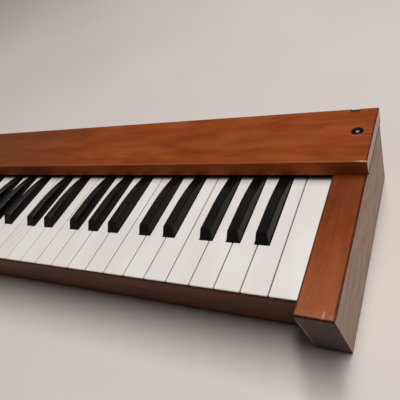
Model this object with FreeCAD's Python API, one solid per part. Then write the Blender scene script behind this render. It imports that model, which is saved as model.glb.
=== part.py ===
import FreeCAD, Part
import math
import os

# A keyboard synthesizer in a wooden case: moulded keys on a pressed steel frame, between two
# cheeks, behind a low front rail and under a deep top board.
# Millimetres. X runs along the keys, Y to the rear and Z up. The origin lies on the floor,
# under the middle of the case. A reach is measured rearwards from the front lip of the keys.

Vector = FreeCAD.Vector

# Wooden case
cheek_thickness = 30.0
cheek_height = 73.8
cheek_rake = 14.5
nose_radius = 2.0
edge_bevel = 1.0
board_thickness = 16.0
board_overhang = 1.0
board_lap = 2.0
rail_thickness = 14.0
rail_rake = 13.5
rail_setback = 5.3
rail_headroom = 0.6
rail_floor_gap = 0.7
bottom_thickness = 9.0
panel_thickness = 12.0
panel_inset = 12.0
panel_gap = 3.0
foot_height = 2.0
foot_size = 18.0
foot_inset = 25.0

# Chip in the rear edge of the top board
chip_inset = 17.5
chip_width = 8.0
chip_depth = 3.4
chip_height = 1.2

# Sunk screw and cup washer at each end of the top board
screw_inset = 13.4
screw_setback = 37.4
screw_radius = 2.1
screw_length = 38.0
head_radius = 4.0
cup_radius = 5.6
cup_wall = 0.7
cup_rim = 0.2

# Cable gland in the rear panel
gland_x_share = -0.29
gland_height = 24.0
gland_radius = 6.0
gland_flange_radius = 9.0
gland_flange = 5.0
gland_bore_radius = 1.8

# Keyboard layout
key_count = 37
lowest_note = 0
white_pitch = 23.5
white_gap = 1.0
pair_spread = 2.5
trio_spread = 3.7
key_setback = 15.7
key_sink = 3.8
key_end_gap = 0.6

# White keys
head_length = 48.7
plate_thickness = 2.5
lip_depth = 24.0
skirt_depth = 16.0
key_wall = 1.6
white_bevel = 0.5
lip_corner_bevel = 1.0
lip_undercut = 1.5

# Black keys
black_gap = 0.8
black_width = 13.0
black_crown_width = 9.8
black_height = 9.2
black_slope = 6.2
black_flat = 30.5
black_length = 86.5
black_tail_height = 1.8
black_bevel = 1.0
black_step = 2.0
black_plate = 4.0

# Key pivots and travel
key_dip = 9.5
pivot_drop = 11.0
rod_radius = 2.0
running_clearance = 0.05
stop_clearance = 0.2
hub_wall = 2.2
hub_width = 8.0
arm_length = 10.0
seat_flats = 6
mouth_share = 0.8

# Guides, stop hooks and switch plungers under the keys
white_guide_inset = 5.0
black_guide_inset = 10.5
guide_width = 5.0
guide_clearance = 0.2
guide_rib = 1.6
guide_length = 9.0
guide_headroom = 0.6
hook_width = 5.0
hook_depth = 4.0
toe_length = 8.0
toe_thickness = 3.0
hook_slack = 2.2
plunger_size = 4.0

# Pressed steel key frame
sheet = 1.6
frame_front_gap = 10.0
shelf_drop = 17.0
shelf_margin = 8.0
window_gap = 7.8
frame_tail_room = 8.0
frame_flange = 14.0
stand_flare = 3.0
window_margin = 3.0

# Felt strips, circuit board, rubber mat and leaf springs
felt_gap = 8.0
felt_width = 12.0
felt_thickness = 3.0
circuit_thickness = 1.6
circuit_depth = 26.0
circuit_gap = 3.8
mat_thickness = 1.2
mat_depth = 18.0
dome_base = 9.0
dome_crown = 5.0
dome_height = 5.0
leaf_thickness = 0.5
leaf_width = 5.0
leaf_gap = 6.0
leaf_foot = 10.0
leaf_run = 21.0
leaf_tip_inset = 3.0

overrun = 5.0
tolerance = 0.001

# Reaches along the key that these sizes lead to, and the depth of the case
frame_front_reach = lip_depth + frame_front_gap
white_guide_reach = frame_front_reach + white_guide_inset
black_reach = head_length + black_gap
black_guide_reach = black_reach + black_guide_inset
felt_reach = black_guide_reach + felt_gap
shelf_reach = felt_reach + felt_width + shelf_margin
hook_reach = shelf_reach + window_gap + toe_length + stop_clearance
window_reach = hook_reach + hook_depth + hook_slack
contact_reach = window_reach + circuit_gap + circuit_depth / 2
leaf_reach = contact_reach + circuit_depth / 2 + leaf_gap
pivot_reach = leaf_reach + leaf_foot + leaf_run + leaf_tip_inset
panel_reach = pivot_reach + frame_tail_room + panel_gap
case_depth = key_setback + panel_reach + panel_thickness + panel_inset

# Levels and depths in the case
front_y = -case_depth / 2
rear_y = case_depth / 2
case_bottom = foot_height
bottom_top = case_bottom + bottom_thickness
cheek_top = case_bottom + cheek_height
board_top = cheek_top + board_thickness
key_top = cheek_top - key_sink
plate_underside = key_top - plate_thickness
black_underside = key_top - black_plate
skirt_bottom = key_top - skirt_depth
lip_y = front_y + key_setback
notch_y = lip_y + head_length
black_y = lip_y + black_reach
black_rear = black_y + black_length
board_front = black_rear - board_lap
pivot_y = lip_y + pivot_reach
pivot_z = key_top - pivot_drop
tail_end = pivot_y - arm_length
hub_radius = rod_radius + running_clearance + hub_wall
rod_bore = rod_radius + running_clearance


def dip_at(y):
    """How far a key sinks at a depth when it is fully pressed."""
    return (pivot_y - y) * key_dip / pivot_reach


felt_front = lip_y + felt_reach
felt_top = skirt_bottom - dip_at(felt_front) - stop_clearance
shelf_top = felt_top - felt_thickness
floor_top = shelf_top - shelf_drop
floor_underside = floor_top - sheet
hook_y = lip_y + hook_reach
hook_rear = hook_y + hook_depth
window_rear = lip_y + window_reach
toe_top = floor_underside - felt_thickness - stop_clearance
contact_y = lip_y + contact_reach
circuit_top = floor_top + circuit_thickness
mat_top = circuit_top + mat_thickness
dome_top = mat_top + dome_height
plunger_bottom = dome_top + dip_at(contact_y - plunger_size / 2) + stop_clearance
frame_front = lip_y + frame_front_reach
shelf_rear = lip_y + shelf_reach
frame_rear = pivot_y + frame_tail_room
panel_front = lip_y + panel_reach
panel_rear = panel_front + panel_thickness
gland_rear = panel_rear + gland_flange
screw_y = rear_y - screw_setback
cup_mouth = cup_radius - cup_wall
cup_base = board_top + cup_rim - (cup_mouth - screw_radius - running_clearance)

NOTES = ("c", "c_sharp", "d", "d_sharp", "e", "f", "f_sharp", "g", "g_sharp", "a", "a_sharp", "b")
BLACK_SHIFTS = {
    "c_sharp": -pair_spread,
    "d_sharp": pair_spread,
    "f_sharp": -trio_spread,
    "g_sharp": 0,
    "a_sharp": trio_spread,
}


def note_of(index):
    return NOTES[(lowest_note + index) % len(NOTES)]


white_count = sum(note_of(index) not in BLACK_SHIFTS for index in range(key_count))
keys_half = white_count * white_pitch / 2
keys_range = (-keys_half, keys_half)
inner_half = keys_half + key_end_gap
outer_half = inner_half + cheek_thickness
inner_range = (-inner_half, inner_half)
screw_xs = (-(outer_half - screw_inset), outer_half - screw_inset)


# Small helpers for solids
def around(middle, width):
    return (middle - width / 2, middle + width / 2)


def box(x_range, y_range, z_range):
    size = [high - low for low, high in (x_range, y_range, z_range)]
    return Part.makeBox(*size, Vector(x_range[0], y_range[0], z_range[0]))


def slab_along_x(outline, x_range):
    """A solid with one outline of Y and Z points, run along X."""
    corners = [Vector(x_range[0], y, z) for y, z in outline]
    face = Part.Face(Part.makePolygon(corners + corners[:1]))
    return face.extrude(Vector(x_range[1] - x_range[0], 0, 0))


def bent_strip(path, thickness, x_range):
    """A strip of sheet with mitred bends that follows a path of Y and Z points."""
    headings = []
    for (y0, z0), (y1, z1) in zip(path, path[1:]):
        length = math.hypot(y1 - y0, z1 - z0)
        headings.append(((y1 - y0) / length, (z1 - z0) / length))
    sides = ([], [])
    for index, (y, z) in enumerate(path):
        before = headings[max(index - 1, 0)]
        after = headings[min(index, len(headings) - 1)]
        lean = 1 + before[0] * after[0] + before[1] * after[1]
        across_y = -(before[1] + after[1]) / lean
        across_z = (before[0] + after[0]) / lean
        for side, sign in zip(sides, (1, -1)):
            offset = sign * thickness / 2
            side.append((y + offset * across_y, z + offset * across_z))
    return slab_along_x(sides[0] + sides[1][::-1], x_range)


def rod_along_x(y, z, radius, x_range):
    start = Vector(x_range[0], y, z)
    return Part.makeCylinder(radius, x_range[1] - x_range[0], start, Vector(1, 0, 0))


def rod_along_y(x, z, radius, y_range):
    start = Vector(x, y_range[0], z)
    return Part.makeCylinder(radius, y_range[1] - y_range[0], start, Vector(0, 1, 0))


def turned(x, y, profile):
    """A turned piece with an upright axis: the profile lists radius and height."""
    corners = [Vector(x + radius, y, z) for radius, z in profile]
    face = Part.Face(Part.makePolygon(corners + corners[:1]))
    return face.revolve(Vector(x, y, 0), Vector(0, 0, 1), 360)


def joined(first, *others):
    return first.fuse(list(others)).removeSplitter()


def edges_with(shape, test):
    """The edges of a shape whose bounding boxes pass a test."""
    return [edge for edge in shape.Edges if test(edge.BoundBox)]


# The places of the keys
def key_places():
    """Yields each key's node name, the sides of its head and tail, and whether it is black."""
    line = -keys_half
    blacks = {}
    whites = {}
    for index in range(key_count):
        note = note_of(index)
        if note in BLACK_SHIFTS:
            blacks[index] = line + BLACK_SHIFTS[note]
        else:
            whites[index] = around(line + white_pitch / 2, white_pitch - white_gap)
            line += white_pitch
    half_slot = black_width / 2 + black_gap
    for index in range(key_count):
        name = f"key_{index + 1:02d}_{note_of(index)}"
        if index in blacks:
            sides = around(blacks[index], black_width)
            yield name, sides, sides, True
            continue
        left, right = whites[index]
        tail_left = blacks[index - 1] + half_slot if index - 1 in blacks else left
        tail_right = blacks[index + 1] - half_slot if index + 1 in blacks else right
        yield name, (left, right), (tail_left, tail_right), False


def middle_of(sides):
    return (sides[0] + sides[1]) / 2


def tail_middles():
    return [middle_of(tail) for _, _, tail, _ in key_places()]


def stand_middles():
    """Where the rod stands: both ends, and the line above each B but the last."""
    places = [-keys_half + sheet / 2]
    line = -keys_half
    for index in range(key_count - 2):
        if note_of(index) not in BLACK_SHIFTS:
            line += white_pitch
        if note_of(index) == "b":
            places.append(line)
    return places + [keys_half - sheet / 2]


# What every key carries below: guide ribs, stop hook, switch plunger and pivot clip
def guide_ribs(x, reach):
    """Two ribs, one down each side of the frame's guide post."""
    along = around(lip_y + reach, guide_length)
    height = (skirt_bottom, plate_underside)
    offset = guide_width / 2 + guide_clearance + guide_rib / 2
    return [box(around(x + side * offset, guide_rib), along, height) for side in (-1, 1)]


def stop_hook(x):
    """The tongue that passes through the frame and catches its lower felt."""
    width = around(x, hook_width)
    toe_bottom = toe_top - toe_thickness
    stem = box(width, (hook_y, hook_rear), (toe_bottom, plate_underside))
    toe = box(width, (hook_y, hook_rear + toe_length), (toe_bottom, toe_top))
    return [stem, toe]


def switch_plunger(x):
    height = (plunger_bottom, plate_underside)
    return box(around(x, plunger_size), around(contact_y, plunger_size), height)


def pivot_clip(x):
    """The arm and the open clip at its end, whose seat of flats snaps onto the rod."""
    width = around(x, hub_width)
    height = around(pivot_z, 2 * hub_radius)
    arm = box(width, (tail_end - key_wall, pivot_y + rod_bore), height)
    corner = rod_bore / math.cos(math.pi / seat_flats)
    angles = [math.pi * (2 * flat + 1) / seat_flats for flat in range(seat_flats)]
    seat = slab_along_x(
        [(pivot_y + corner * math.cos(a), pivot_z + corner * math.sin(a)) for a in angles], width
    )
    half_mouth = rod_radius * mouth_share
    mouth = box(width, (pivot_y, pivot_y + corner), around(pivot_z, 2 * half_mouth))
    return arm.cut([seat, mouth])


def with_works(shell, x, guide_x, guide_reach):
    works = guide_ribs(guide_x, guide_reach) + stop_hook(x) + [switch_plunger(x), pivot_clip(x)]
    return joined(shell, *works)


def white_key(head_sides, tail_sides):
    """A moulded shell with a thin front lip, open below, narrowed between the blacks."""
    height = (skirt_bottom, key_top)
    head = box(head_sides, (lip_y, notch_y), height)
    tail = box(tail_sides, (notch_y - key_wall, tail_end), height)
    shell = joined(head, tail)
    corners = edges_with(shell, lambda b: b.YMax < lip_y + tolerance and b.XLength < tolerance)
    shell = shell.makeChamfer(lip_corner_bevel, corners)
    rim = edges_with(shell, lambda b: b.ZMin > key_top - tolerance and b.YMin < notch_y - tolerance)
    shell = shell.makeChamfer(white_bevel, rim)
    depth = (skirt_bottom - overrun, plate_underside)
    under_lip = slab_along_x(
        [
            (lip_y - overrun, depth[0]),
            (lip_y + lip_depth, depth[0]),
            (lip_y + lip_depth, plate_underside),
            (lip_y + lip_undercut, plate_underside),
            (lip_y - overrun, plate_underside + lip_undercut + overrun),
        ],
        (head_sides[0] - overrun, head_sides[1] + overrun),
    )
    head_hollow = box(
        (head_sides[0] + key_wall, head_sides[1] - key_wall),
        (lip_y + lip_depth + key_wall, notch_y - key_wall),
        depth,
    )
    tail_hollow = box(
        (tail_sides[0] + key_wall, tail_sides[1] - key_wall),
        (notch_y - 2 * key_wall, tail_end - key_wall),
        depth,
    )
    shell = shell.cut([under_lip, head_hollow, tail_hollow])
    return with_works(shell, middle_of(tail_sides), middle_of(head_sides), white_guide_reach)


def black_crown(x):
    """The raised top: a sloped front, a flat, then an arc down to pass below the board."""
    base = key_top - black_step
    top = key_top + black_height
    flat_end = black_y + black_flat
    drop = black_height - black_tail_height
    run = black_rear - flat_end
    radius = (run * run + drop * drop) / (2 * drop)
    half_sweep = math.asin(run / radius) / 2
    left = x - black_width / 2
    front = [(black_y, base), (black_y, key_top), (black_y + black_slope, top), (flat_end, top)]
    rear = [(black_rear, top - drop), (black_rear, base), (black_y, base)]
    middle = (flat_end + radius * math.sin(half_sweep), top - radius * (1 - math.cos(half_sweep)))
    front, rear = ([Vector(left, y, z) for y, z in line] for line in (front, rear))
    arc = Part.Arc(front[-1], Vector(left, *middle), rear[0]).toShape()
    side_view = Part.Wire([Part.makePolygon(front), arc, Part.makePolygon(rear)])
    crown = Part.Face(side_view).extrude(Vector(black_width, 0, 0))
    corners = []
    for side in (-1, 1):
        half_foot = side * black_width / 2
        half_top = side * black_crown_width / 2
        line = [(half_foot, base), (half_foot, key_top), (half_top, top)]
        corners += [Vector(x + across, black_y, z) for across, z in line[::-side]]
    end_view = Part.Face(Part.makePolygon(corners + corners[:1]))
    crown = crown.common(end_view.extrude(Vector(0, black_length, 0)))
    soft = edges_with(crown, lambda b: b.ZMin > top - drop - tolerance and b.YMin < flat_end + tolerance)
    return crown.makeChamfer(black_bevel, soft)


def black_key(sides):
    """A raised crown on a hollow body that is open below."""
    x = middle_of(sides)
    body = box(sides, (black_y, tail_end), (skirt_bottom, key_top - black_step))
    hollow = box(
        (sides[0] + key_wall, sides[1] - key_wall),
        (black_y + key_wall, tail_end - key_wall),
        (skirt_bottom - overrun, black_underside),
    )
    shell = joined(black_crown(x), body).cut(hollow)
    return with_works(shell, x, x, black_guide_reach)


# The steel frame and the rod on it
def guide_post(x, reach, ceiling):
    y = lip_y + reach
    top = ceiling - dip_at(y) - guide_headroom
    return box(around(x, guide_width), around(y, sheet), (shelf_top - sheet, top))


def hook_windows():
    """The openings in the frame's floor, one between each two rod stands, for the stop hooks."""
    places = stand_middles()
    windows = []
    for left, right in zip(places, places[1:]):
        windows.append(
            box(
                (left + window_margin, right - window_margin),
                (shelf_rear + window_gap, window_rear),
                (floor_underside - overrun, floor_top + overrun),
            )
        )
    return windows


def rod_stand(x):
    """An upright plate, narrower above, that carries the rod."""
    top = pivot_z + hub_radius
    plate = slab_along_x(
        [
            (pivot_y - hub_radius - stand_flare, floor_underside),
            (frame_rear - sheet, floor_underside),
            (pivot_y + hub_radius, top),
            (pivot_y - hub_radius, top),
        ],
        around(x, sheet),
    )
    return plate.cut(rod_along_x(pivot_y, pivot_z, rod_bore, around(x, sheet)))


def key_frame():
    """One bent sheet with a front shelf, guide posts, hook slots and rod stands."""
    half = sheet / 2
    front = frame_front + half
    rear = frame_rear - half
    step = shelf_rear - half
    foot = bottom_top + half
    shelf = shelf_top - half
    floor = floor_top - half
    path = [
        (front + frame_flange, foot),
        (front, foot),
        (front, shelf),
        (step, shelf),
        (step, floor),
        (rear, floor),
        (rear, foot),
        (rear - frame_flange, foot),
    ]
    frame = bent_strip(path, sheet, keys_range).cut(hook_windows())
    posts = []
    for _, head, _, is_black in key_places():
        reach = black_guide_reach if is_black else white_guide_reach
        ceiling = black_underside if is_black else plate_underside
        posts.append(guide_post(middle_of(head), reach, ceiling))
    return joined(frame, *posts, *[rod_stand(x) for x in stand_middles()])


def pivot_rod():
    return rod_along_x(pivot_y, pivot_z, rod_radius, keys_range)


# Springs, felts and contacts
def key_springs():
    """A bent leaf under each key's arm, close in front of the rod."""
    half = leaf_thickness / 2
    foot_front = lip_y + leaf_reach
    tip_y = pivot_y - leaf_tip_inset
    tip_z = pivot_z - hub_radius - dip_at(tip_y) - stop_clearance - 2 * half
    path = [
        (foot_front, floor_top + half),
        (foot_front + leaf_foot, floor_top + half),
        (tip_y, tip_z),
    ]
    leaves = [bent_strip(path, leaf_thickness, around(x, leaf_width)) for x in tail_middles()]
    return Part.makeCompound(leaves)


def stop_felts():
    """Two like strips: one on the frame's shelf, one under its floor."""
    down = box(keys_range, (felt_front, felt_front + felt_width), (shelf_top, felt_top))
    up = box(
        keys_range,
        (window_rear, window_rear + felt_width),
        (floor_underside - felt_thickness, floor_underside),
    )
    return Part.makeCompound([down, up])


def contact_board():
    return box(keys_range, around(contact_y, circuit_depth), (floor_top, circuit_top))


def contact_mat():
    """A rubber mat with one tapered dome under each key's plunger."""
    mat = box(keys_range, around(contact_y, mat_depth), (circuit_top, mat_top))
    base = dome_base / 2
    crown = dome_crown / 2
    domes = []
    for x in tail_middles():
        dome = Part.makeWedge(-base, 0, -base, -crown, -crown, base, dome_height, base, crown, crown)
        dome.rotate(Vector(0, 0, 0), Vector(1, 0, 0), 90)
        dome.translate(Vector(x, contact_y, mat_top))
        domes.append(dome)
    return joined(mat, *domes)


# The wooden case
def cheek_outline():
    """The cheek's side view: flat top, rounded nose and raked front."""
    rake = math.radians(cheek_rake)
    middle_y = front_y + nose_radius
    middle_z = cheek_top - nose_radius

    def on_nose(angle):
        return Vector(
            0, middle_y - nose_radius * math.cos(angle), middle_z + nose_radius * math.sin(angle)
        )

    low = on_nose(-rake)
    high = on_nose(math.pi / 2)
    between = on_nose((math.pi / 2 - rake) / 2)
    toe = Vector(0, low.y + (low.z - case_bottom) * math.tan(rake), case_bottom)
    heel = Vector(0, rear_y, case_bottom)
    crest = Vector(0, rear_y, cheek_top)
    return Part.Wire(
        [
            Part.LineSegment(toe, low).toShape(),
            Part.Arc(low, between, high).toShape(),
            Part.makePolygon([high, crest, heel, toe]),
        ]
    )


def cheek(side):
    """One end of the case, with the pilot hole of its top screw."""
    low, high = sorted((side * inner_half, side * outer_half))
    solid = Part.Face(cheek_outline()).extrude(Vector(high - low, 0, 0))
    solid.translate(Vector(low, 0, 0))
    bore = screw_radius + running_clearance
    pilot = hole_profile(bore, cup_base - screw_length)
    return solid.cut(turned(side * (outer_half - screw_inset), screw_y, pilot))


def hole_profile(radius, bottom):
    """A round hole from a level up through everything above it."""
    top = board_top + overrun
    return [(0, bottom), (radius, bottom), (radius, top), (0, top)]


def top_board():
    """The deep board over the key tails, with a chip out of its rear edge."""
    half = outer_half + board_overhang
    board = box((-half, half), (board_front, rear_y), (cheek_top, board_top))
    rim = edges_with(board, lambda b: b.ZMin > board_top - tolerance)
    board = board.makeChamfer(edge_bevel, rim)
    chip = box(
        around(half - chip_inset - chip_width / 2, chip_width),
        (rear_y - chip_depth, rear_y + overrun),
        (board_top - chip_height, board_top + overrun),
    )
    hole = hole_profile(screw_radius + running_clearance, cheek_top - overrun)
    recess = hole_profile(cup_radius + running_clearance, cup_base)
    holes = [turned(x, screw_y, profile) for x in screw_xs for profile in (hole, recess)]
    return board.cut([chip, *holes])


def rail_outline():
    lean = math.tan(math.radians(rail_rake))
    front = lip_y + rail_setback
    top = plate_underside - dip_at(front) - rail_headroom
    bottom = case_bottom + rail_floor_gap
    run = (top - bottom) * lean
    depth = rail_thickness / math.cos(math.radians(rail_rake))
    return [(front + run, bottom), (front, top), (front + depth, top), (front + depth + run, bottom)]


def front_rail():
    """The raked rail below the key lips."""
    rail = slab_along_x(rail_outline(), inner_range)
    top = rail_outline()[1][1]
    rim = edges_with(rail, lambda b: b.ZMin > top - tolerance and b.XLength > tolerance)
    return rail.makeChamfer(edge_bevel, rim)


def bottom_board():
    rail_heel = rail_outline()[3][0]
    return box(inner_range, (rail_heel, panel_front), (case_bottom, bottom_top))


def gland_place():
    return gland_x_share * 2 * inner_half, case_bottom + gland_height


def rear_panel():
    """The inset back of the case, with the hole of its cable gland."""
    x, z = gland_place()
    panel = box(inner_range, (panel_front, panel_rear), (case_bottom, cheek_top))
    through = (panel_front - overrun, panel_rear + overrun)
    hole = rod_along_y(x, z, gland_radius + running_clearance, through)
    return panel.cut(hole)


def cable_gland():
    """A strain relief: a bored barrel in the panel with a six-sided flange behind it."""
    x, z = gland_place()
    barrel = rod_along_y(x, z, gland_radius, (panel_front, panel_rear))
    corners = []
    for side in range(6):
        angle = math.pi * side / 3
        across = gland_flange_radius * math.cos(angle)
        corners.append(Vector(x + across, panel_rear, z + gland_flange_radius * math.sin(angle)))
    flange = Part.Face(Part.makePolygon(corners + corners[:1])).extrude(Vector(0, gland_flange, 0))
    bore = rod_along_y(x, z, gland_bore_radius, (panel_front - overrun, gland_rear + overrun))
    return joined(barrel, flange).cut(bore)


def board_screws():
    """One long screw down into each cheek, its countersunk head in the cup washer."""
    head_top = cup_base + head_radius - screw_radius
    profile = [
        (0, cup_base - screw_length),
        (screw_radius, cup_base - screw_length),
        (screw_radius, cup_base),
        (head_radius, head_top),
        (0, head_top),
    ]
    return Part.makeCompound([turned(x, screw_y, profile) for x in screw_xs])


def cup_washers():
    """A cup sunk in the board under each screw head, with a tapered seat for the head."""
    rim = board_top + cup_rim
    profile = [
        (screw_radius + running_clearance, cup_base),
        (cup_radius, cup_base),
        (cup_radius, rim),
        (cup_mouth, rim),
    ]
    return Part.makeCompound([turned(x, screw_y, profile) for x in screw_xs])


def rubber_feet():
    """Four low square pads, one near each end of each cheek."""
    rake_run = cheek_height * math.tan(math.radians(cheek_rake))
    feet = []
    for side in (-1, 1):
        x = side * (outer_half - cheek_thickness / 2)
        for y in (front_y + rake_run + foot_inset, rear_y - foot_inset):
            feet.append(box(around(x, foot_size), around(y, foot_size), (0, foot_height)))
    return Part.makeCompound(feet)


def main():
    os.makedirs("parts", exist_ok=True)
    nodes = {
        "top_board": top_board(),
        "cheek_right": cheek(1),
        "cheek_left": cheek(-1),
        "front_rail": front_rail(),
        "bottom_board": bottom_board(),
        "rear_panel": rear_panel(),
        "cable_gland": cable_gland(),
        "key_frame": key_frame(),
        "pivot_rod": pivot_rod(),
        "key_springs": key_springs(),
        "stop_felts": stop_felts(),
        "contact_board": contact_board(),
        "contact_mat": contact_mat(),
        "board_screws": board_screws(),
        "cup_washers": cup_washers(),
        "rubber_feet": rubber_feet(),
    }
    for name, head, tail, is_black in key_places():
        nodes[name] = black_key(head) if is_black else white_key(head, tail)
    for name, shape in nodes.items():
        shape.exportStep(f"parts/{name}.step")


main()
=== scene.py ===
import math

import bmesh
import bpy
from mathutils import Matrix, Vector


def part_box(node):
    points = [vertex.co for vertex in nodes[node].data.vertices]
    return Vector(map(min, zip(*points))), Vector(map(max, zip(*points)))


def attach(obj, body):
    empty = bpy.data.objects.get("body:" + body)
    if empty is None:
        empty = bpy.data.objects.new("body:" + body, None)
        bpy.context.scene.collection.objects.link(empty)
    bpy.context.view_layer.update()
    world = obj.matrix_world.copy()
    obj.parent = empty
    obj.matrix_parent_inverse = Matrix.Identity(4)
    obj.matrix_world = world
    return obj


# A keyboard synthesizer in a lacquered wooden case, dressed on its CAD frame.
# Metres, in the frame's own axes: X along the keys, Y to the rear, Z up.
# The sizes of patterns, marks, edges and screws are written in millimetres.

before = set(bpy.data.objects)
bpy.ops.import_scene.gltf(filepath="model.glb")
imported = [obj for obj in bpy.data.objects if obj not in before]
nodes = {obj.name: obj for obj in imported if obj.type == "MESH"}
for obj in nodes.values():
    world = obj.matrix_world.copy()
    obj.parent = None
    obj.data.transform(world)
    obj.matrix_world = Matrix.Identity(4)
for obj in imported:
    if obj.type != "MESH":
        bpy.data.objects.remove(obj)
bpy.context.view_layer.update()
mm = 0.001

KEYS = sorted(name for name in nodes if name.startswith("key_") and name[4:6].isdigit())
BLACK_KEYS = [name for name in KEYS if "sharp" in name]
WHITE_KEYS = [name for name in KEYS if "sharp" not in name]

board_low, board_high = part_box("top_board")
cheek_low, cheek_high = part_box("cheek_right")
rail_low, rail_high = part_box("front_rail")
panel_low, panel_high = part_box("rear_panel")
bottom_low, bottom_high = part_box("bottom_board")
cups_low, cups_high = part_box("cup_washers")
_, screws_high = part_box("board_screws")
last_key_low, last_key_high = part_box(WHITE_KEYS[-1])

CUP_RADIUS = 5.6 * mm
SCREW_PLACES = [
    Vector((x, (cups_low.y + cups_high.y) / 2, board_high.z))
    for x in (cups_low.x + CUP_RADIUS, cups_high.x - CUP_RADIUS)
]


# Small helpers for materials
def linear(colour):
    """An sRGB hex colour as linear RGBA."""
    channels = [int(colour[place:place + 2], 16) / 255 for place in (1, 3, 5)]
    return [c / 12.92 if c <= 0.04045 else ((c + 0.055) / 1.055) ** 2.4 for c in channels] + [1]


def add(tree, kind, *values, ramp=None, **settings):
    """Adds a shader node. Values go to its inputs in order and settings to inputs or properties.
    An input takes a number, a hex colour, another node's first output or a socket."""
    node = tree.nodes.new("ShaderNode" + kind)
    named = {}
    for name, value in settings.items():
        if hasattr(node, name):
            setattr(node, name, value)
        else:
            named[name.replace("_", " ")] = value
    open_inputs = [socket for socket in node.inputs if socket.enabled]
    pairs = list(zip(open_inputs, values))
    for name, value in named.items():
        pairs.append((next(socket for socket in open_inputs if socket.name == name), value))
    for socket, value in pairs:
        if isinstance(value, bpy.types.Node):
            value = next(output for output in value.outputs if output.enabled)
        if isinstance(value, bpy.types.NodeSocket):
            tree.links.new(value, socket)
        elif isinstance(value, str):
            socket.default_value = linear(value)
        else:
            socket.default_value = value
    if ramp:
        elements = node.color_ramp.elements
        while len(elements) < len(ramp):
            elements.new(0.5)
        for element, (place, colour) in zip(elements, ramp):
            element.position = place
            element.color = linear(colour)
    return node


def new_material(name):
    """An empty material and the node tree to fill."""
    material = bpy.data.materials.new(name)
    material.use_nodes = True
    tree = material.node_tree
    tree.nodes.clear()
    return material, tree


def finish_material(tree, colour, roughness, bump=None, **settings):
    """The surface shader and the output."""
    surface = add(tree, "BsdfPrincipled", Base_Color=colour, Roughness=roughness, **settings)
    if bump:
        tree.links.new(bump.outputs[0], surface.inputs["Normal"])
    add(tree, "OutputMaterial", surface)


def stretched(tree, along, lengths):
    """The place on the object, scaled so that one unit is one repeat of a pattern. Its lengths are
    given along the grain, across it and upwards."""
    place = add(tree, "TexCoord").outputs["Object"]
    scale = [1 / (length * mm) for length in lengths]
    if along == "y":
        scale[0], scale[1] = scale[1], scale[0]
    return add(tree, "Mapping", Vector=place, Scale=scale)


def blended(tree, *parts):
    """The sum of several patterns, each times its share."""
    (pattern, share), *others = parts
    total = add(tree, "Math", pattern, share, operation="MULTIPLY")
    for pattern, share in others:
        total = add(tree, "Math", pattern, share, total, operation="MULTIPLY_ADD")
    return total


# A noise mostly stays between these values
NOISE_SPAN = (0.3, 0.7)
# The grain of a mark's ragged outline, and the shares of its reach between which it fades
RAGGED_GRAIN = (1.1, 1.1, 1.1)
MARK_FADE = (0.8, 1.05)


def mark_mask(tree, corner, offset, reach, ragged, strength):
    """The strength inside a small box, fading to 0 at its sides. The box's middle lies at an
    offset from a corner of the object, and it reaches so far to each side."""
    place = add(tree, "TexCoord").outputs["Object"]
    middle = corner + Vector(offset) * mm
    away = add(tree, "VectorMath", place, tuple(middle), operation="SUBTRACT")
    away = add(tree, "VectorMath", away, [side * mm for side in reach], operation="DIVIDE")
    shares = add(tree, "SeparateXYZ", add(tree, "VectorMath", away, operation="ABSOLUTE")).outputs
    widest = add(tree, "Math", shares["X"], shares["Y"], operation="MAXIMUM")
    widest = add(tree, "Math", widest, shares["Z"], operation="MAXIMUM")
    if ragged:
        grain = add(tree, "TexNoise", Vector=stretched(tree, "x", RAGGED_GRAIN), Detail=3, Scale=1)
        shift = add(tree, "MapRange", grain, *NOISE_SPAN, -ragged, ragged)
        widest = add(tree, "Math", widest, shift, operation="ADD")
    return add(tree, "MapRange", widest, *MARK_FADE, strength, 0.0)


# Wood. Patterns have their lengths along the grain, across it and upwards.
STAIN_BLOTCHES = (52, 17, 17)
GROWTH_BANDS = (150, 8, 8)
FINE_STREAKS = (45, 1.6, 1.6)
OPEN_PORES = (9, 0.6, 0.6)
CLOUDY_MOTTLE = (24, 4, 4)
ORANGE_BROWN_STAIN = [(0.38, "#76320F"), (0.5, "#863E17"), (0.62, "#94481E")]
DARK_STAIN = [(0.38, "#4F2919"), (0.5, "#5C3121"), (0.62, "#693B29")]
# Painted shade on surfaces that face down
UNDERSIDE_SHADE = "#2A160D"

# The span of a pattern, and the shades or roughness that it gives
CLOUD_SPAN, CLOUD_SHADES = (0.4, 0.6), (0.74, 1.22)
PORE_SPAN, PORE_SHADES = (0.33, 0.42), (0.8, 1.0)
LACQUER_ROUGHNESS = (0.4, 0.52)

# How far a surface has turned to a side, down or up where an eased edge, a side, the painted shade
# on the underside or a rubbed edge begins and is full
EDGE_TURN = (0.12, 0.34)
SIDE_TURN = (0.86, 0.94)
UNDER_TURN = (0.35, 0.7)
RUBBED_TURN = (0.1, 0.5)


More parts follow.
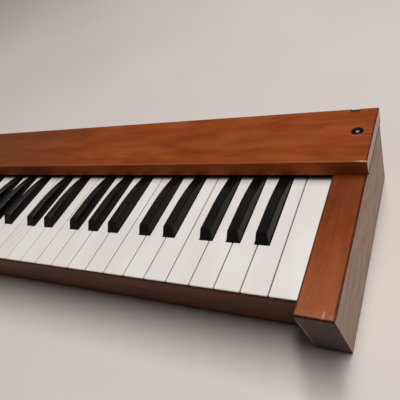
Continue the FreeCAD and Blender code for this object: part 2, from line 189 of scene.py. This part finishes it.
def lacquered_wood(name, along, front, end, tone_shifts, marks):
    """Hardwood under an orange-brown stain and satin lacquer: slow blotches where the stain took
    unevenly, growth bands and fine streaks along the grain, and short dark pores. Front and end
    each have a colour of their own on their eased edge and on the side itself, which has a cloudy
    mottle. Surfaces that face down get a painted shade. Slow tone shifts, wear, old dirt, painted
    highlights and painted shade change the tone from place to place."""
    material, tree = new_material(name)
    blotch, bands, streak, pores, mottle = (
        add(
            tree, "TexNoise", Vector=stretched(tree, along, lengths),
            Detail=detail, Roughness=roughness, Distortion=distortion, Scale=1,
        )
        for lengths, detail, roughness, distortion in (
            (STAIN_BLOTCHES, 3, 0.5, 0.0),
            (GROWTH_BANDS, 3, 0.5, 0.5),
            (FINE_STREAKS, 4, 0.6, 0.0),
            (OPEN_PORES, 2, 0.5, 0.0),
            (CLOUDY_MOTTLE, 3, 0.6, 0.0),
        )
    )
    grain = blended(tree, (blotch, 0.56), (bands, 0.25), (streak, 0.19))
    tone = add(tree, "ValToRGB", grain, ramp=ORANGE_BROWN_STAIN)
    place = add(tree, "SeparateXYZ", add(tree, "TexCoord").outputs["Object"]).outputs
    for axis, start, stop, colour, strength in tone_shifts:
        share = add(tree, "MapRange", place[axis], start, stop, strength, 0.0)
        tone = add(tree, "Mix", data_type="RGBA", Factor=share, A=tone, B=colour)

    shade = blended(tree, (blotch, 0.2), (mottle, 0.45), (streak, 0.35))
    shade = add(tree, "MapRange", shade, *CLOUD_SPAN, *CLOUD_SHADES)
    shade = add(tree, "CombineColor", shade, shade, shade)
    facing = add(tree, "SeparateXYZ", add(tree, "NewGeometry").outputs["Normal"]).outputs
    forward = add(tree, "Math", facing["Y"], -1.0, operation="MULTIPLY")
    sideways = add(tree, "Math", facing["X"], operation="ABSOLUTE")
    downward = add(tree, "Math", facing["Z"], -1.0, operation="MULTIPLY")
    for toward, (edge, side) in ((forward, front), (sideways, end)):
        mottled = add(
            tree, "Mix", data_type="RGBA", blend_type="MULTIPLY", Factor=1.0, A=shade, B=side
        )
        for turn, colour in ((EDGE_TURN, edge), (SIDE_TURN, mottled)):
            share = add(tree, "MapRange", toward, *turn, 0.0, 1.0)
            tone = add(tree, "Mix", data_type="RGBA", Factor=share, A=tone, B=colour)
    # Painted shade: surfaces that face down are darkened.
    share = add(tree, "MapRange", downward, *UNDER_TURN, 0.0, 1.0)
    tone = add(tree, "Mix", data_type="RGBA", Factor=share, A=tone, B=UNDERSIDE_SHADE)

    for corner, offset, reach, colour, ragged, strength in marks:
        share = mark_mask(tree, corner, offset, reach, ragged, strength)
        tone = add(tree, "Mix", data_type="RGBA", Factor=share, A=tone, B=colour)
    dark = add(tree, "MapRange", pores, *PORE_SPAN, *PORE_SHADES)
    dark = add(tree, "CombineColor", dark, dark, dark)
    tone = add(tree, "Mix", data_type="RGBA", blend_type="MULTIPLY", Factor=1.0, A=tone, B=dark)

    rough = add(tree, "MapRange", blotch, *NOISE_SPAN, *LACQUER_ROUGHNESS)
    relief = blended(tree, (grain, 1.0), (pores, 0.5))
    bump = add(tree, "Bump", Height=relief, Distance=0.12 * mm, Strength=0.6)
    finish_material(tree, tone, rough, bump, IOR=1.5, Specular_IOR_Level=0.06)
    return material


def dark_stained_wood():
    """The front rail and back: hardwood under a thin dark stain, so the grain shows only faintly.
    The rail's upper edge is rubbed paler, and a painted shadow darkens its lower edge."""
    material, tree = new_material("dark_stained_wood")
    slow = add(tree, "TexNoise", Vector=stretched(tree, "x", (120, 14, 14)), Detail=4, Scale=1)
    streak = add(tree, "TexNoise", Vector=stretched(tree, "x", (60, 1.8, 1.8)), Detail=4, Scale=1)
    grain = blended(tree, (slow, 0.5), (streak, 0.5))
    tone = add(tree, "ValToRGB", grain, ramp=DARK_STAIN)
    upward = add(tree, "SeparateXYZ", add(tree, "NewGeometry").outputs["Normal"]).outputs["Z"]
    rubbed = add(tree, "MapRange", upward, *RUBBED_TURN, 0.0, 1.0)
    tone = add(tree, "Mix", data_type="RGBA", Factor=rubbed, A=tone, B="#754B3A")
    # Painted shadow: a dark band along the rail's lower edge, at the gap above the floor.
    lower_edge = Vector((0, (rail_low.y + rail_high.y) / 2, rail_low.z))
    lower_edge_shade = mark_mask(tree, lower_edge, (0, 0, 0), (400, 40, 2.6), 0.1, 0.85)
    tone = add(tree, "Mix", data_type="RGBA", Factor=lower_edge_shade, A=tone, B="#1E110C")
    bump = add(tree, "Bump", Height=streak, Distance=0.1 * mm, Strength=0.5)
    finish_material(tree, tone, 0.5, bump, IOR=1.5, Specular_IOR_Level=0.12)
    return material


def plain_hardboard():
    """Unfinished hardboard under the case: a fine even mottle, quite dull."""
    material, tree = new_material("plain_hardboard")
    fibres = add(tree, "TexNoise", Vector=stretched(tree, "x", (6, 2.5, 2.5)), Detail=6, Scale=1)
    blotch = add(tree, "TexNoise", Vector=stretched(tree, "x", (80, 80, 80)), Detail=2, Scale=1)
    both = blended(tree, (fibres, 0.5), (blotch, 0.5))
    tone = add(tree, "ValToRGB", both, ramp=[(0.38, "#7A5A3C"), (0.62, "#9C7A54")])
    bump = add(tree, "Bump", Height=fibres, Distance=0.1 * mm, Strength=0.5)
    finish_material(tree, tone, 0.8, bump, IOR=1.5)
    return material


# Plastics, metals and the rest. The painted shade on a key stands in for the board's shadow. It
# begins the first length in front of the board and is full the second length in front of it.
UNDER_BOARD_SHADE_REACH = (4.6, 0.4)
UNDER_BOARD_SHADE_STRENGTH = 0.94
SCREW_ROUGHNESS = (0.36, 0.5)


def moulded_plastic(name, light, dark, roughness, under_board_shade, **settings):
    """Moulded ABS with a polished face: an almost even colour, a faint cloud from handling, gloss
    that is a little duller where fingers have rubbed it, and a painted shade where the key goes
    under the board, which stands in for the board's shadow."""
    material, tree = new_material(name)
    cloud = add(
        tree, "TexNoise", Vector=stretched(tree, "y", (70, 30, 30)),
        Detail=2, Roughness=0.4, Scale=1,
    )
    tone = add(tree, "ValToRGB", cloud, ramp=[(0.4, dark), (0.6, light)])
    depth = add(tree, "SeparateXYZ", add(tree, "TexCoord").outputs["Object"]).outputs["Y"]
    # Painted shade: the key darkens towards the board, standing in for the board's shadow.
    begins, full = (board_low.y - reach * mm for reach in UNDER_BOARD_SHADE_REACH)
    share = add(
        tree, "MapRange", depth, begins, full, 0.0, UNDER_BOARD_SHADE_STRENGTH,
        interpolation_type="SMOOTHSTEP",
    )
    tone = add(tree, "Mix", data_type="RGBA", Factor=share, A=tone, B=under_board_shade)
    wear = add(tree, "TexNoise", Vector=stretched(tree, "y", (26, 8, 8)), Detail=3, Scale=1)
    rough = add(tree, "MapRange", wear, *NOISE_SPAN, roughness - 0.05, roughness + 0.08)
    fine = add(tree, "TexNoise", Vector=stretched(tree, "x", (0.9, 0.9, 0.9)), Detail=2, Scale=1)
    bump = add(tree, "Bump", Height=fine, Distance=0.01 * mm, Strength=0.4)
    finish_material(tree, tone, rough, bump, IOR=1.53, **settings)
    return material


def brushed_metal(name, light, dark, roughness, along, length):
    """Plated or drawn steel: fine lines along the rolling direction and slightly cloudy plating."""
    material, tree = new_material(name)
    rolled = stretched(tree, along, (length, 0.8, 0.8))
    lines = add(tree, "TexNoise", Vector=rolled, Detail=3, Scale=1)
    cloud = add(tree, "TexNoise", Vector=stretched(tree, along, (25, 25, 25)), Detail=3, Scale=1)
    tone = add(tree, "ValToRGB", cloud, ramp=[(0.4, dark), (0.6, light)])
    rough = add(tree, "MapRange", lines, *NOISE_SPAN, roughness - 0.08, roughness + 0.1)
    bump = add(tree, "Bump", Height=lines, Distance=0.02 * mm, Strength=0.4)
    finish_material(tree, tone, rough, bump, Metallic=1.0)
    return material


def blackened_screw_steel():
    """Oxide-blackened steel with a painted highlight, standing in for a glint, in the cross."""
    material, tree = new_material("blackened_screw_steel")
    tone = "#171514"
    for middle in SCREW_PLACES:
        # Painted highlight: a bright spot in each head's middle, standing in for the lamp's glint.
        tone_shifts = mark_mask(tree, middle, (0, 0, 0), (1.5, 1.5, 3), 0.0, 1.0)
        tone = add(tree, "Mix", data_type="RGBA", Factor=tone_shifts, A=tone, B="#A4A6A3")
    grit = add(tree, "TexNoise", Vector=stretched(tree, "x", (0.5, 0.5, 0.5)), Detail=3, Scale=1)
    rough = add(tree, "MapRange", grit, *NOISE_SPAN, *SCREW_ROUGHNESS)
    bump = add(tree, "Bump", Height=grit, Distance=0.02 * mm, Strength=0.4)
    finish_material(tree, tone, rough, bump, Metallic=1.0)
    return material


def dull_material(name, light, dark, roughness, size, depth, **settings):
    """Rubber, felt, enamel or laminate: an even mottle with soft relief at the size of its fibres
    or grit."""
    material, tree = new_material(name)
    mottle = add(
        tree, "TexNoise", Vector=stretched(tree, "x", (size, size, size)),
        Detail=5, Roughness=0.65, Scale=1,
    )
    tone = add(tree, "ValToRGB", mottle, ramp=[(0.38, dark), (0.62, light)])
    bump = add(tree, "Bump", Height=mottle, Distance=depth * mm, Strength=0.6)
    finish_material(tree, tone, roughness, bump, **settings)
    return material


# Marks on the wood: corner, offset, reach, colour, how ragged the outline is, and strength
right_screw = SCREW_PLACES[-1]
board_front_right = Vector((board_high.x, board_low.y, board_high.z))
board_front_left = Vector((board_low.x, board_low.y, (board_low.z + board_high.z) / 2))
board_rear_right = Vector((board_high.x, board_high.y, board_high.z))
board_rear_edge = Vector((0, board_high.y, board_high.z))
board_end_joint = Vector((board_high.x, (board_low.y + board_high.y) / 2, board_low.z))
BOARD_MARKS = [
    # Darker at both ends of the front and along the rear edge
    (board_front_right, (-12, 0, -9), (34, 0.7, 12), "#3A1E10", 0.2, 0.35),
    (board_front_left, (0, 0, 0), (220, 0.7, 12), "#1E0C06", 0.1, 0.45),
    (board_rear_edge, (0, 0, 0), (400, 1.6, 1.0), "#4C1E0C", 0.3, 0.75),
    # Old dirt in the chip, and painted shade deepest along its rear
    (board_rear_right, (-21.5, 0, 0), (4.9, 7.2, 2.2), "#442E18", 0.08, 0.95),
    (board_rear_right, (-21.5, 0, 0), (4.9, 3.8, 2.2), "#1C120A", 0.08, 0.95),
    # A short crack from the screw, bruised wood beside it and a painted highlight below the cup
    (right_screw, (10.5, -5.2, 0), (4.6, 0.8, 3), "#4A1808", 0.5, 0.9),
    (right_screw, (7.2, -3.6, 0), (2.2, 2.0, 3), "#7C3420", 0.5, 0.7),
    (right_screw, (0.5, -6.1, 0), (3.6, 0.55, 3), "#B4745A", 0.4, 0.6),
    # Painted highlight along the front edge, brightest at the corner
    (board_front_right, (-24, 0, 0), (22, 0.9, 0.9), "#B87A58", 0.5, 0.4),
    (board_front_right, (-6, 0, 0), (5.0, 1.0, 1.0), "#C48E74", 0.6, 0.6),
    (board_front_right, (-3.2, 0, 0), (2.8, 1.0, 1.0), "#E0B8A4", 0.3, 0.85),
    # Painted shade in the gap between the board's end and the cheek
    (board_end_joint, (0, 0, 0.9), (1.2, 300, 1.9), "#150C08", 0.2, 1.0),
]

nose = Vector((cheek_high.x, cheek_low.y, cheek_high.z))
foot = Vector((cheek_high.x, cheek_low.y, cheek_low.z))
inner_front = Vector((cheek_low.x, cheek_low.y, (cheek_low.z + cheek_high.z) / 2))
rear_outer = Vector((cheek_high.x, cheek_high.y, cheek_high.z))
outer_edge = Vector((cheek_high.x, 0, cheek_high.z))
inner_edge = Vector((cheek_low.x, 0, cheek_high.z))
CHEEK_MARKS = [
    # Dark lines along the upper edges, with a pale line just outside
    (outer_edge, (-0.9, 0, 0), (1.1, 300, 0.5), "#431708", 0.25, 0.8),
    (outer_edge, (0, 0, -1.0), (0.5, 300, 0.7), "#C4A48E", 0.4, 0.7),
    (inner_edge, (0.4, 0, 0), (1.0, 300, 0.5), "#3C1A0C", 0.25, 0.75),
    # Painted highlights on the nose
    (nose, (-15, 3.6, 0), (14, 2.4, 0.6), "#A0624A", 0.7, 0.28),
    (nose, (-8.8, 4.6, 0), (0.9, 3.0, 0.6), "#BC866C", 0.35, 0.7),
    (nose, (-3.4, 3.4, 0), (1.0, 1.8, 0.6), "#AA7258", 0.5, 0.55),
    # Painted highlight on the raked front's inner edge, a grey rear edge, painted shadow at the
    # foot
    (inner_front, (0, 0, 0), (1.6, 30, 30), "#9A8A7E", 0.1, 0.75),
    (rear_outer, (0, 0, -20), (2.5, 6, 60), "#7A6A5A", 0.2, 0.5),
    (foot, (0, 0, 0), (40, 300, 2.2), "#1C110D", 0.1, 0.8),
]

# Slow changes of tone: axis, where it is strongest, where it ends, colour and strength.
# The cheek's top is paler at the front and darker near the board; the board is darker at the left.
CHEEK_TONE_SHIFTS = [
    ("Y", cheek_low.y, cheek_low.y + 75 * mm, "#A06848", 0.38),
    ("Y", board_low.y - 30 * mm, cheek_low.y + 50 * mm, "#3D1A08", 0.4),
]
BOARD_TONE_SHIFTS = [("X", board_low.x + 40 * mm, board_low.x + 290 * mm, "#4C2C18", 0.64)]

board_wood = lacquered_wood(
    "stained_lacquered_hardwood_board", "x",
    front=("#A05A30", "#AC5224"), end=("#4E2614", "#DABCA8"),
    tone_shifts=BOARD_TONE_SHIFTS, marks=BOARD_MARKS,
)
cheek_wood = lacquered_wood(
    "stained_lacquered_hardwood_cheek", "y",
    front=("#30130A", "#564542"), end=("#3E180C", "#B0947F"),
    tone_shifts=CHEEK_TONE_SHIFTS, marks=CHEEK_MARKS,
)
rail_wood = dark_stained_wood()
hardboard = plain_hardboard()
white_plastic = moulded_plastic("polished_white_abs", "#E3DDD8", "#DED7D1", 0.26, "#2B2420")
black_plastic = moulded_plastic(
    "polished_black_abs", "#060505", "#030303", 0.25, "#040303", Specular_IOR_Level=0.19
)
plated_steel = brushed_metal("zinc_plated_steel", "#B9B9B4", "#96958F", 0.38, "x", 30)
bright_rod = brushed_metal("drawn_steel_rod", "#C8C8C6", "#A9A9A6", 0.25, "x", 40)
spring_steel = brushed_metal("rolled_spring_steel", "#A8ABB0", "#85888C", 0.3, "y", 12)
small_screw = brushed_metal("yellow_zinc_plating", "#B5A06A", "#8E7C50", 0.35, "x", 3)
board_screw = blackened_screw_steel()
cup_black = dull_material(
    "black_enamelled_brass", "#100D0B", "#070606", 0.4, 1.2, 0.05, IOR=1.5, Specular_IOR_Level=0.15
)
green_felt = dull_material("pressed_wool_felt", "#4E6A52", "#33493A", 0.95, 1.0, 0.25)
laminate = dull_material("bare_phenolic_laminate", "#6E5A32", "#574524", 0.45, 3, 0.03)
grey_rubber = dull_material("moulded_silicone_rubber", "#63635F", "#4E4E4C", 0.6, 1.5, 0.04)
black_rubber = dull_material("moulded_black_rubber", "#232322", "#161616", 0.7, 1.2, 0.05)

FINISHES = {
    "top_board": board_wood,
    "cheek_right": cheek_wood,
    "cheek_left": cheek_wood,
    "front_rail": rail_wood,
    "rear_panel": rail_wood,
    "bottom_board": hardboard,
    "cable_gland": black_rubber,
    "key_frame": plated_steel,
    "pivot_rod": bright_rod,
    "key_springs": spring_steel,
    "stop_felts": green_felt,
    "contact_board": laminate,
    "contact_mat": grey_rubber,
    "board_screws": board_screw,
    "cup_washers": cup_black,
    "rubber_feet": black_rubber,
}
EASED_EDGES = {
    "top_board": 0.8,
    "cheek_right": 1.5,
    "cheek_left": 1.5,
    "front_rail": 1.0,
    "rear_panel": 0.5,
    "bottom_board": 0.5,
}
for name in WHITE_KEYS:
    FINISHES[name] = white_plastic
    EASED_EDGES[name] = 0.5
for name in BLACK_KEYS:
    FINISHES[name] = black_plastic
    EASED_EDGES[name] = 0.6


def ease_edges(node, width):
    """Rounds a CAD node's edges a little, so that they catch the light as worked edges do."""
    weld = node.modifiers.new("weld", "WELD")
    weld.merge_threshold = 0.005 * mm
    planar = node.modifiers.new("planar", "DECIMATE")
    planar.decimate_type = "DISSOLVE"
    planar.angle_limit = math.radians(0.5)
    bevel = node.modifiers.new("eased", "BEVEL")
    bevel.width = width * mm
    bevel.segments = 3
    bevel.limit_method = "ANGLE"
    bevel.angle_limit = math.radians(25)
    bevel.harden_normals = True


for name, finish in FINISHES.items():
    node = nodes[name]
    node.data.materials.clear()
    node.data.materials.append(finish)
    if name in EASED_EDGES:
        ease_edges(node, EASED_EDGES[name])


# Screw heads. The cross's arms are shares of the head's radius, and their slopes shares of an arm.
ARM_LENGTH, ARM_WIDTH, ARM_DEPTH = 0.62, 0.15, 0.45
END_SLOPE, WALL_SLOPE = 0.3, 0.4
HEAD_RINGS, HEAD_SPOKES = 22, 72
HEAD_RIM = 0.05


def cross_head(shape, centre, facing, radius, crown):
    """A domed head with a driver's cross pressed into it, added to a mesh being built."""
    turn = Vector((0, 0, 1)).rotation_difference(Vector(facing)).to_matrix()
    length, width = ARM_LENGTH * radius, ARM_WIDTH * radius

    def ring_of_points(reach, spokes, height_at):
        ring = []
        for spoke in range(spokes):
            angle = math.tau * spoke / HEAD_SPOKES
            across, down = reach * math.cos(angle), reach * math.sin(angle)
            point = Vector((across, down, height_at(across, down)))
            ring.append(shape.verts.new(centre + turn @ point))
        return ring

    def dome(across, down):
        depth = 0.0
        for along, beside in ((across, down), (down, across)):
            end = min(max((length - abs(along)) / (END_SLOPE * length), 0), 1)
            wall = min(max((width - abs(beside)) / (WALL_SLOPE * width), 0), 1)
            depth = max(depth, ARM_DEPTH * radius * end * wall)
        return crown * (1 - (across ** 2 + down ** 2) / radius ** 2) - depth

    (tip,) = ring_of_points(0, 1, dome)
    rings = [
        ring_of_points(radius * ring / HEAD_RINGS, HEAD_SPOKES, dome)
        for ring in range(1, HEAD_RINGS + 1)
    ]
    rings.append(ring_of_points(radius, HEAD_SPOKES, lambda across, down: -HEAD_RIM * mm))
    for spoke in range(HEAD_SPOKES):
        after = (spoke + 1) % HEAD_SPOKES
        shape.faces.new((tip, rings[0][spoke], rings[0][after]))
        for inner, outer in zip(rings, rings[1:]):
            shape.faces.new((inner[spoke], outer[spoke], outer[after], inner[after]))
    shape.faces.new(rings[-1][::-1])


def screw_heads(name, places, facing, radius, crown, finish):
    """Screw heads of one kind as one piece on the case. Radius and crown are in millimetres."""
    shape = bmesh.new()
    for place in places:
        cross_head(shape, Vector(place), facing, radius * mm, crown * mm)
    mesh = bpy.data.meshes.new(name)
    shape.to_mesh(mesh)
    shape.free()
    for face in mesh.polygons:
        face.use_smooth = True
    mesh.materials.append(finish)
    piece = bpy.data.objects.new(name, mesh)
    bpy.context.scene.collection.objects.link(piece)
    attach(piece, "case")


def spaced(low, high, shares):
    """Places along the X side of a box, given as shares of its length."""
    return [low.x + (high.x - low.x) * share for share in shares]


PANEL_SCREW_INSET = 9 * mm
PANEL_SCREW_SHARES = (0.03, 0.35, 0.65, 0.97)
BOTTOM_SCREW_INSET = 10 * mm
BOTTOM_SCREW_SHARES = (0.02, 0.34, 0.66, 0.98)
panel_columns = spaced(panel_low, panel_high, PANEL_SCREW_SHARES)
panel_rows = (panel_low.z + PANEL_SCREW_INSET, panel_high.z - PANEL_SCREW_INSET)
bottom_columns = spaced(bottom_low, bottom_high, BOTTOM_SCREW_SHARES)
bottom_rows = (bottom_low.y + BOTTOM_SCREW_INSET, bottom_high.y - BOTTOM_SCREW_INSET)
screw_heads(
    "board_screw_crowns",
    [(place.x, place.y, screws_high.z) for place in SCREW_PLACES],
    (0, 0, 1), radius=3.9, crown=0.7, finish=board_screw,
)
screw_heads(
    "rear_panel_screws",
    [(x, panel_high.y, z) for x in panel_columns for z in panel_rows],
    (0, 1, 0), radius=2.9, crown=0.6, finish=small_screw,
)
screw_heads(
    "bottom_board_screws",
    [(x, y, bottom_low.z) for x in bottom_columns for y in bottom_rows],
    (0, 0, -1), radius=2.9, crown=0.6, finish=small_screw,
)


# Floor, light and camera
FLOOR_HALF = 4.0
SURROUND_SPAN = (-0.2, 0.6)
SURROUND_LEVELS = (0.04, 0.12)
HALF_KEY_GAP = 0.5 * mm


def pale_floor():
    """A plain pale floor far larger than the view."""
    corners = [(x * FLOOR_HALF, y * FLOOR_HALF, 0) for x, y in ((-1, -1), (1, -1), (1, 1), (-1, 1))]
    mesh = bpy.data.meshes.new("floor")
    mesh.from_pydata(corners, [], [(0, 1, 2, 3)])
    floor = bpy.data.objects.new("floor", mesh)
    bpy.context.scene.collection.objects.link(floor)
    material, tree = new_material("pale_floor")
    cloud = add(tree, "TexNoise", Vector=stretched(tree, "x", (400, 400, 400)), Detail=3, Scale=1)
    tone = add(tree, "ValToRGB", cloud, ramp=[(0.35, "#CDC3BD"), (0.65, "#D3C9C3")])
    finish_material(tree, tone, 0.6)
    mesh.materials.append(material)


def strip_lamp():
    """One long soft lamp above the case's right half, which faces straight down."""
    lamp = bpy.data.lights.new("strip_lamp", "AREA")
    lamp.shape = "RECTANGLE"
    lamp.size = 0.42
    lamp.size_y = 2.9
    lamp.energy = 97
    holder = bpy.data.objects.new("strip_lamp", lamp)
    holder.location = (0.55, 0.42, 2.95)
    holder.rotation_euler = (0, 0, math.radians(24))
    bpy.context.scene.collection.objects.link(holder)


def dim_surround():
    """A dim surround that is paler behind. The eye, reflections and clear things see a plain wall
    there instead."""
    world = bpy.data.worlds.new("surround")
    world.use_nodes = True
    tree = world.node_tree
    tree.nodes.clear()
    toward = add(tree, "SeparateXYZ", add(tree, "TexCoord").outputs["Generated"]).outputs["Y"]
    level = add(tree, "MapRange", toward, *SURROUND_SPAN, *SURROUND_LEVELS)
    dim = add(tree, "Background", Color="#FFFFFF", Strength=level)
    wall = add(tree, "Background", Color="#9A9089", Strength=1.0)
    rays = add(tree, "LightPath").outputs
    seen = add(tree, "Math", rays["Is Camera Ray"], rays["Is Glossy Ray"], operation="MAXIMUM")
    seen = add(tree, "Math", seen, rays["Is Transmission Ray"], operation="MAXIMUM")
    add(tree, "OutputWorld", add(tree, "MixShader", seen, dim, wall))
    bpy.context.scene.world = world


def photo_camera():
    """The photograph's view, placed from the top front right corner of the last key."""
    corner = Vector((last_key_high.x + HALF_KEY_GAP, last_key_low.y, last_key_high.z))
    away = Vector((98.307, -175.395, 277.367)) * mm
    heading, tilt, roll = (math.radians(angle) for angle in (39.08, 52.01, -24.68))
    turn = Matrix.Rotation(heading, 4, "Z") @ Matrix.Rotation(tilt, 4, "X")
    turn = turn @ Matrix.Rotation(roll, 4, "Z")
    lens = bpy.data.cameras.new("photo_camera")
    lens.sensor_width = 36
    lens.lens = 40.189
    camera = bpy.data.objects.new("photo_camera", lens)
    camera.matrix_world = Matrix.Translation(corner + away) @ turn
    bpy.context.scene.collection.objects.link(camera)
    bpy.context.scene.camera = camera


pale_floor()
strip_lamp()
dim_surround()
photo_camera()
bpy.context.scene.view_settings.view_transform = "Standard"
